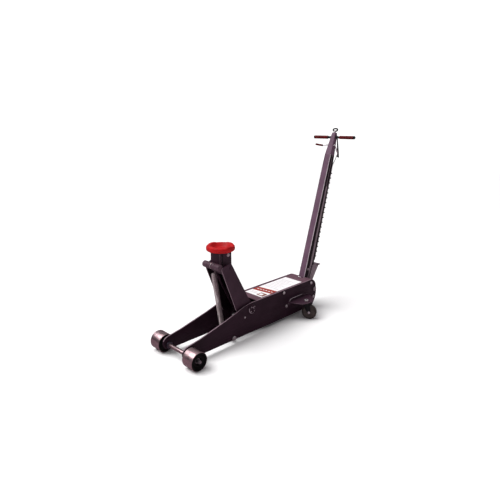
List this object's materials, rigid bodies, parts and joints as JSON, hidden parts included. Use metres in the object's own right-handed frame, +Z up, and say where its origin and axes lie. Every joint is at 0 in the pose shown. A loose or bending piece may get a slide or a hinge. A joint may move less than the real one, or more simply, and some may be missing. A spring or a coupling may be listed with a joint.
{
  "type": "hydraulic service jack",
  "caption": "Long-chassis rolling floor jack with a hydraulic lift arm, leveling saddle, swivel casters and a tall pump handle with a T-bar.",
  "frame": {"origin": "on the floor, halfway along the jack and on its middle plane", "axes": "+Z up, -Y towards the saddle and front wheels, +Y towards the handle, +X towards the side that faced the camera"},
  "size_m": [0.4862, 1.5299, 1.2624],
  "materials": {
    "frame_paint": "charcoal metallic enamel with a faint plum tint",
    "machined_steel": "turned steel",
    "zinc_steel": "zinc plated pressed steel",
    "polished_rod": "ground and polished",
    "spring_steel": "zinc plated wire",
    "black_metal": "satin black",
    "red_paint": "gloss red enamel",
    "red_grip": "dark red dipped plastic",
    "cast_wheel": "machined rim, cast sides"
  },
  "bodies": {
    "chassis": {"side_plate_left": "frame_paint", "side_plate_right": "frame_paint", "front_axle": "machined_steel", "axle_nut_left": "machined_steel", "axle_nut_right": "machined_steel", "axle_spacer_left": "machined_steel", "axle_spacer_right": "machined_steel", "front_cross_rod": "machined_steel", "power_unit_upper_rod": "machined_steel", "power_unit_lower_rod": "machined_steel", "cover_rear_rod": "machined_steel", "rear_tie_rod": "machined_steel", "arm_pivot_shaft": "machined_steel", "pivot_cap_left": "frame_paint", "pivot_cap_right": "frame_paint", "top_cover": "frame_paint", "ram_cylinder": "black_metal", "fluid_reservoir": "black_metal", "filler_plug": "machined_steel", "link_anchor_left": "black_metal", "link_anchor_right": "black_metal", "caster_bracket_left": "frame_paint", "caster_bracket_right": "frame_paint", "handle_pivot_shaft": "machined_steel"},
    "lift_arm": {"arm_plate_left": "frame_paint", "arm_plate_right": "frame_paint", "arm_web": "frame_paint", "arm_cross_bar": "frame_paint", "head_pin": "machined_steel", "arm_heel": "frame_paint"},
    "heel_roller": {"heel_roller": "machined_steel"},
    "head": {"head_block": "frame_paint"},
    "saddle": {"saddle": "red_paint"},
    "leveling_links": {"leveling_link_left": "frame_paint", "leveling_link_right": "frame_paint"},
    "ram": {"ram_rod": "polished_rod"},
    "return_spring": {"return_spring": "spring_steel"},
    "front_wheel_left": {"front_wheel_left": "machined_steel"},
    "front_wheel_right": {"front_wheel_right": "machined_steel"},
    "caster_fork_left": {"caster_fork_left": "zinc_steel", "caster_axle_left": "machined_steel"},
    "caster_fork_right": {"caster_fork_right": "zinc_steel", "caster_axle_right": "machined_steel"},
    "caster_wheel_left": {"caster_wheel_left": "cast_wheel"},
    "caster_wheel_right": {"caster_wheel_right": "cast_wheel"},
    "handle": {"handle_tube": "frame_paint", "handle_socket": "frame_paint", "handle_neck": "frame_paint", "handle_yoke": "frame_paint", "neck_brace": "black_metal", "t_bar_left": "black_metal", "t_bar_right": "black_metal", "grip_left": "red_grip", "grip_right": "red_grip"},
    "pump_plunger": {"pump_plunger": "polished_rod"},
    "release_control": {"release_rod": "machined_steel", "release_knob": "black_metal"},
    "lock_lever": {"lock_lever": "machined_steel", "lock_lever_grip": "red_grip"},
    "lock_rod": {"lock_rod": "machined_steel"}
  },
  "joints": [
    {"name": "arm_lift", "type": "hinge", "parent": "chassis", "child": "lift_arm", "pos_m": [0, -0.21, 0.183], "axis": [-1, 0, 0], "range_deg": [-77, 2]},
    {"name": "heel_roller_spin", "type": "hinge", "parent": "lift_arm", "child": "heel_roller", "pos_m": [0, -0.2587, 0.11953], "axis": [1, 0, 0], "continuous": true},
    {"name": "head_level", "type": "hinge", "parent": "lift_arm", "child": "head", "pos_m": [0, -0.365, 0.48], "axis": [-1, 0, 0], "range_deg": [-2, 77]},
    {"name": "saddle_spin", "type": "hinge", "parent": "head", "child": "saddle", "pos_m": [0, -0.3743, 0.5718], "axis": [0, 0, 1], "continuous": true},
    {"name": "link_swing", "type": "hinge", "parent": "chassis", "child": "leveling_links", "pos_m": [0, -0.226, 0.145], "axis": [-1, 0, 0], "range_deg": [-77, 2]},
    {"name": "ram_stroke", "type": "slide", "parent": "chassis", "child": "ram", "axis": [0, -1, 0], "range_m": [-0.1, 0.003]},
    {"name": "spring_swing", "type": "hinge", "parent": "chassis", "child": "return_spring", "pos_m": [0, -0.364, 0.036], "axis": [-1, 0, 0], "range_deg": [-83, 2.2], "deforming": ["return_spring"]},
    {"name": "front_wheel_left_spin", "type": "hinge", "parent": "chassis", "child": "front_wheel_left", "pos_m": [-0.153, -0.71, 0.055], "axis": [1, 0, 0], "continuous": true},
    {"name": "front_wheel_right_spin", "type": "hinge", "parent": "chassis", "child": "front_wheel_right", "pos_m": [0.153, -0.71, 0.055], "axis": [1, 0, 0], "continuous": true},
    {"name": "caster_swivel_left", "type": "hinge", "parent": "chassis", "child": "caster_fork_left", "pos_m": [-0.175, 0.241, 0.05], "axis": [0, 0, 1], "continuous": true},
    {"name": "caster_wheel_left_spin", "type": "hinge", "parent": "caster_fork_left", "child": "caster_wheel_left", "pos_m": [-0.19405, 0.252, 0.05], "axis": [0.5, 0.866, 0], "continuous": true},
    {"name": "caster_swivel_right", "type": "hinge", "parent": "chassis", "child": "caster_fork_right", "pos_m": [0.175, 0.241, 0.05], "axis": [0, 0, 1], "continuous": true},
    {"name": "caster_wheel_right_spin", "type": "hinge", "parent": "caster_fork_right", "child": "caster_wheel_right", "pos_m": [0.19405, 0.252, 0.05], "axis": [0.5, -0.866, 0], "continuous": true},
    {"name": "handle_pump", "type": "hinge", "parent": "chassis", "child": "handle", "pos_m": [0, 0.435, 0.142], "axis": [-1, 0, 0], "range_deg": [-8, 60]},
    {"name": "plunger_stroke", "type": "slide", "parent": "chassis", "child": "pump_plunger", "axis": [0, -1, 0], "range_m": [-0.005, 0.032]},
    {"name": "release_turn", "type": "hinge", "parent": "handle", "child": "release_control", "pos_m": [0, 0.435, 0.142], "axis": [0, 0.2659, 0.964], "range_deg": [-90, 90]},
    {"name": "lock_squeeze", "type": "hinge", "parent": "handle", "child": "lock_lever", "pos_m": [0, 0.6989, 1.1439], "axis": [-1, 0, 0], "range_deg": [0, 25], "stiffness_Nm_per_rad": 0.6, "springref_deg": -20.05},
    {"name": "lock_rod_slide", "type": "slide", "parent": "handle", "child": "lock_rod", "axis": [0, -0.2426, -0.9701], "range_m": [0, 0.02313]}
  ],
  "couplings": [
    {"joint": "head_level", "follows": "arm_lift", "ratio": -1},
    {"joint": "link_swing", "follows": "arm_lift", "ratio": 1},
    {"joint": "ram_stroke", "follows": "arm_lift", "m_per_rad": 0.07381},
    {"joint": "spring_swing", "follows": "arm_lift", "ratio": 1.0746},
    {"joint": "plunger_stroke", "follows": "handle_pump", "m_per_rad": 0.0299},
    {"joint": "lock_rod_slide", "follows": "lock_squeeze", "m_per_rad": 0.053}
  ]
}
